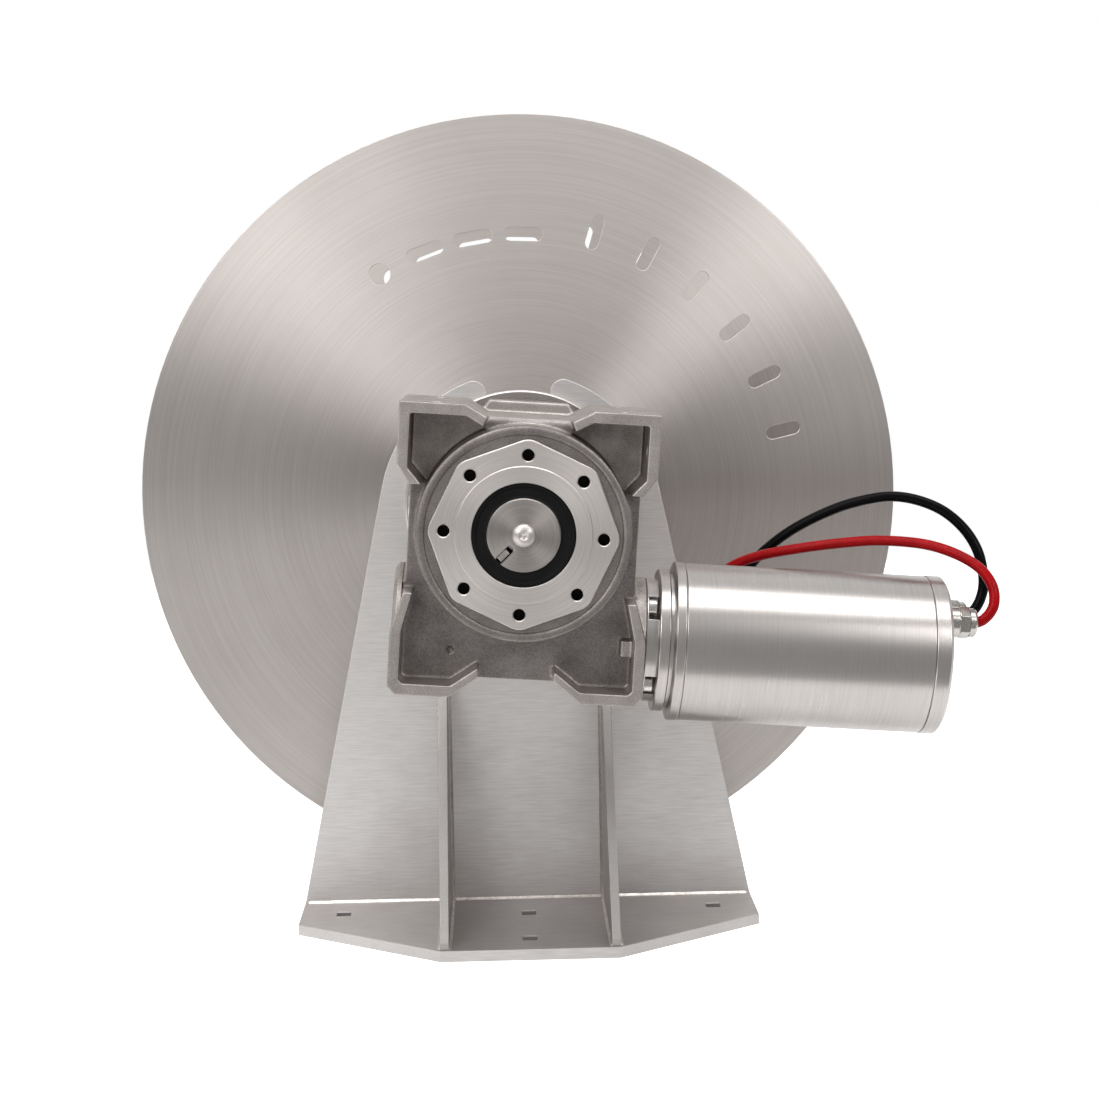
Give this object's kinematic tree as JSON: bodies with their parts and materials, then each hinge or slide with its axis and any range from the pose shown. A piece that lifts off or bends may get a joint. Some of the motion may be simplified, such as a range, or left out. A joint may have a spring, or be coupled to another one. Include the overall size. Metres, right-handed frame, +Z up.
{
  "type": "drum anchor winch",
  "caption": "Rope drum with two large plain discs between welded pedestals, driven by a worm gear unit and an electric motor.",
  "frame": {"origin": "on the deck plane, midway between the two discs and under the drum axis: the centre of the eight square deck holes", "axes": "+Z up from the deck, +Y along the drum axis away from the gear unit, +X towards the motor"},
  "size_m": [0.7676, 0.8685, 0.756],
  "materials": {
    "brushed_stainless": "brushed, straight or circular grain",
    "cast_stainless": "cast, bead blasted and passivated",
    "turned_steel": "turned and ground",
    "stainless_fastener": "bright, machined",
    "motor_stainless": "turned, fine circular grain",
    "nickel_brass": "nickel plated",
    "nitrile_rubber": "moulded, matt",
    "bronze": "cast and hobbed",
    "copper": "turned",
    "steel_laminate": "stacked and varnished",
    "ferrite": "sintered",
    "carbon": "pressed",
    "red_insulation": "smooth, slightly glossy",
    "black_insulation": "smooth, slightly glossy",
    "black_nylon": "moulded",
    "tinned_copper": "tinned"
  },
  "bodies": {
    "frame": {"near_foot_plate": "brushed_stainless", "near_side_plate": "brushed_stainless", "near_gussets": "brushed_stainless", "far_foot_plate": "brushed_stainless", "far_side_plate": "brushed_stainless", "far_gussets": "brushed_stainless", "tie_tubes": "brushed_stainless", "far_bearing_housing": "cast_stainless", "far_bearing_outer": "turned_steel", "far_bearing_bolts": "stainless_fastener", "far_bearing_cap": "brushed_stainless", "gear_housing": "cast_stainless", "gear_front_cover": "cast_stainless", "cover_screws": "stainless_fastener", "output_flange": "turned_steel", "flange_screws": "stainless_fastener", "plate_bolts": "stainless_fastener", "front_seal": "nitrile_rubber", "rear_seal": "nitrile_rubber", "output_bearing_outers": "turned_steel", "worm_bearing_outers": "turned_steel", "worm_end_cap": "cast_stainless", "oil_plugs": "stainless_fastener", "motor_adapter": "motor_stainless", "adapter_screws": "stainless_fastener", "motor_front_ring": "motor_stainless", "motor_can": "motor_stainless", "motor_rear_cap": "motor_stainless", "motor_magnets": "ferrite", "motor_brushes": "carbon", "motor_bearing_outers": "turned_steel", "gland_bodies": "nickel_brass", "gland_nuts": "nickel_brass", "red_lead": "red_insulation", "black_lead": "black_insulation", "red_terminal": "tinned_copper", "black_terminal": "tinned_copper", "lead_tie": "black_nylon"},
    "drum": {"drum_shaft": "turned_steel", "drum_core": "brushed_stainless", "near_disc": "brushed_stainless", "far_disc": "brushed_stainless", "near_hub": "brushed_stainless", "far_hub": "brushed_stainless", "hub_bolts": "stainless_fastener", "shaft_key": "turned_steel", "retaining_disc": "turned_steel", "retaining_screw": "stainless_fastener", "lock_tab": "turned_steel", "output_bearing_inners": "turned_steel", "hollow_shaft": "turned_steel", "worm_wheel_rim": "bronze", "far_bearing_inner": "turned_steel"},
    "worm": {"worm_shaft": "turned_steel", "worm_bearing_inners": "turned_steel", "armature": "steel_laminate", "commutator": "copper", "motor_bearing_inners": "turned_steel"}
  },
  "joints": [
    {"name": "drum_spin", "type": "hinge", "parent": "frame", "child": "drum", "pos_m": [0, 0, 0.388], "axis": [0, 1, 0], "continuous": true},
    {"name": "worm_spin", "type": "hinge", "parent": "frame", "child": "worm", "pos_m": [-0.0069, -0.415, 0.29827], "axis": [0.9971, 0, -0.0767], "continuous": true}
  ],
  "couplings": [
    {"joint": "worm_spin", "follows": "drum_spin", "ratio": -50}
  ]
}
